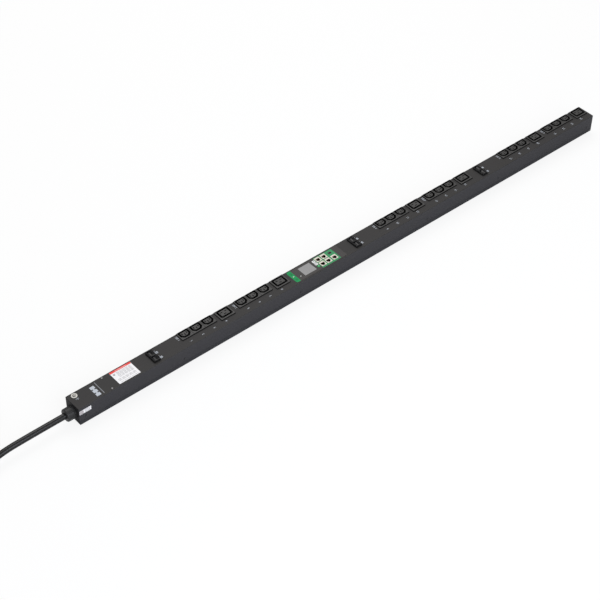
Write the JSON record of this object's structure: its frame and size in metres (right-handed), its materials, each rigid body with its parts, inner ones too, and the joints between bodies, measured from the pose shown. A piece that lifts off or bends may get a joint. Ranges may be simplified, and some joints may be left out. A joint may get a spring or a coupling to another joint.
{
  "type": "rack power strip",
  "caption": "Long vertical rack power strip with banks of recessed outlets, paired rocker breakers, a metering display, network jacks and a heavy supply cord in a gland.",
  "frame": {"origin": "under the middle of the case, on the surface that its back's two pegs stand on", "axes": "+X along the case from the cord end to the far end, +Z out of the outlet face, +Y towards the long edge that the outlets stand beside"},
  "size_m": [2.3025, 0.2183, 0.0676],
  "materials": {
    "case_paint": "fine-texture powder coat, near black",
    "tray_paint": "fine-texture powder coat, near black",
    "outlet_plastic": "moulded nylon, satin",
    "breaker_plastic": "moulded thermoset, satin",
    "rocker_plastic": "moulded, semi-gloss",
    "contact_brass": "rolled strip",
    "zinc_steel": "zinc plated",
    "black_screw": "black oxide",
    "peg_steel": "zinc plated",
    "label_print": "printed polyester label",
    "overlay_print": "printed polyester overlay",
    "port_print": "printed polyester overlay, green",
    "window_clear": "clear polycarbonate",
    "panel_grey": "liquid crystal panel, unlit",
    "board_green": "glass-epoxy laminate",
    "light_guide": "frosted light guide",
    "button_white": "moulded, satin",
    "button_green": "moulded, satin",
    "jack_cream": "moulded, satin",
    "block_plastic": "moulded",
    "wire_cover": "vinyl insulation",
    "clip_nylon": "nylon",
    "gland_metal": "die-cast, dark satin",
    "cord_jacket": "vinyl jacket, smooth",
    "tie_fabric": "hook and loop strap",
    "plug_plastic": "moulded nylon",
    "blade_brass": "plated brass"
  },
  "bodies": {
    "case": {"front_channel": "case_paint", "rear_tray": "tray_paint", "cord_end_plate": "case_paint", "far_end_plate": "case_paint", "side_screws": "black_screw", "face_screws": "zinc_steel", "ground_screw": "zinc_steel", "mounting_pegs": "peg_steel", "information_labels": "label_print", "small_outlet_contacts": "contact_brass", "large_outlet_contacts": "contact_brass", "bus_bars": "contact_brass", "control_overlay": "overlay_print", "port_label": "port_print", "display_window": "window_clear", "display_panel": "panel_grey", "status_light": "light_guide", "control_board": "board_green", "service_port": "zinc_steel", "upper_jacks": "jack_cream", "lower_jacks": "jack_cream", "terminal_block": "block_plastic", "wires": "wire_cover", "wire_clips": "clip_nylon", "gland_body": "gland_metal", "gland_cap": "gland_metal", "gland_nut": "zinc_steel", "power_cord": "cord_jacket", "cord_coil": "cord_jacket", "cord_ties": "tie_fabric", "plug_body": "plug_plastic", "plug_blades": "blade_brass", "small_outlets_1": "outlet_plastic", "large_outlet_1": "outlet_plastic", "breaker_1": "breaker_plastic", "small_outlets_2": "outlet_plastic", "large_outlet_2": "outlet_plastic", "breaker_2": "breaker_plastic", "small_outlets_3": "outlet_plastic", "large_outlet_3": "outlet_plastic", "breaker_3": "breaker_plastic", "small_outlets_4": "outlet_plastic", "large_outlet_4": "outlet_plastic", "breaker_4": "breaker_plastic", "small_outlets_5": "outlet_plastic", "large_outlet_5": "outlet_plastic", "breaker_5": "breaker_plastic", "small_outlets_6": "outlet_plastic", "large_outlet_6": "outlet_plastic", "breaker_6": "breaker_plastic"},
    "rocker_1": {"breaker_rocker_1": "rocker_plastic"},
    "rocker_2": {"breaker_rocker_2": "rocker_plastic"},
    "rocker_3": {"breaker_rocker_3": "rocker_plastic"},
    "rocker_4": {"breaker_rocker_4": "rocker_plastic"},
    "rocker_5": {"breaker_rocker_5": "rocker_plastic"},
    "rocker_6": {"breaker_rocker_6": "rocker_plastic"},
    "menu_button_1_cap": {"menu_button_1": "button_white"},
    "menu_button_2_cap": {"menu_button_2": "button_white"},
    "select_button_cap": {"select_button": "button_green"}
  },
  "joints": [
    {"name": "breaker_1_trip", "type": "hinge", "parent": "case", "child": "rocker_1", "pos_m": [-0.6725, -0.0101, 0.0618], "axis": [0, 1, 0], "range_deg": [0, 22]},
    {"name": "breaker_2_trip", "type": "hinge", "parent": "case", "child": "rocker_2", "pos_m": [-0.6725, 0.0101, 0.0618], "axis": [0, 1, 0], "range_deg": [0, 22]},
    {"name": "breaker_3_trip", "type": "hinge", "parent": "case", "child": "rocker_3", "pos_m": [-0.0041, -0.0101, 0.0618], "axis": [0, 1, 0], "range_deg": [0, 22]},
    {"name": "breaker_4_trip", "type": "hinge", "parent": "case", "child": "rocker_4", "pos_m": [-0.0041, 0.0101, 0.0618], "axis": [0, 1, 0], "range_deg": [0, 22]},
    {"name": "breaker_5_trip", "type": "hinge", "parent": "case", "child": "rocker_5", "pos_m": [0.4729, -0.0101, 0.0618], "axis": [0, 1, 0], "range_deg": [0, 22]},
    {"name": "breaker_6_trip", "type": "hinge", "parent": "case", "child": "rocker_6", "pos_m": [0.4729, 0.0101, 0.0618], "axis": [0, 1, 0], "range_deg": [0, 22]},
    {"name": "menu_button_1_press", "type": "slide", "parent": "case", "child": "menu_button_1_cap", "axis": [0, 0, -1], "range_m": [0, 0.0008], "stiffness_N_per_m": 800, "springref_m": -0.0005},
    {"name": "menu_button_2_press", "type": "slide", "parent": "case", "child": "menu_button_2_cap", "axis": [0, 0, -1], "range_m": [0, 0.0008], "stiffness_N_per_m": 800, "springref_m": -0.0005},
    {"name": "select_button_press", "type": "slide", "parent": "case", "child": "select_button_cap", "axis": [0, 0, -1], "range_m": [0, 0.0008], "stiffness_N_per_m": 800, "springref_m": -0.0005}
  ]
}
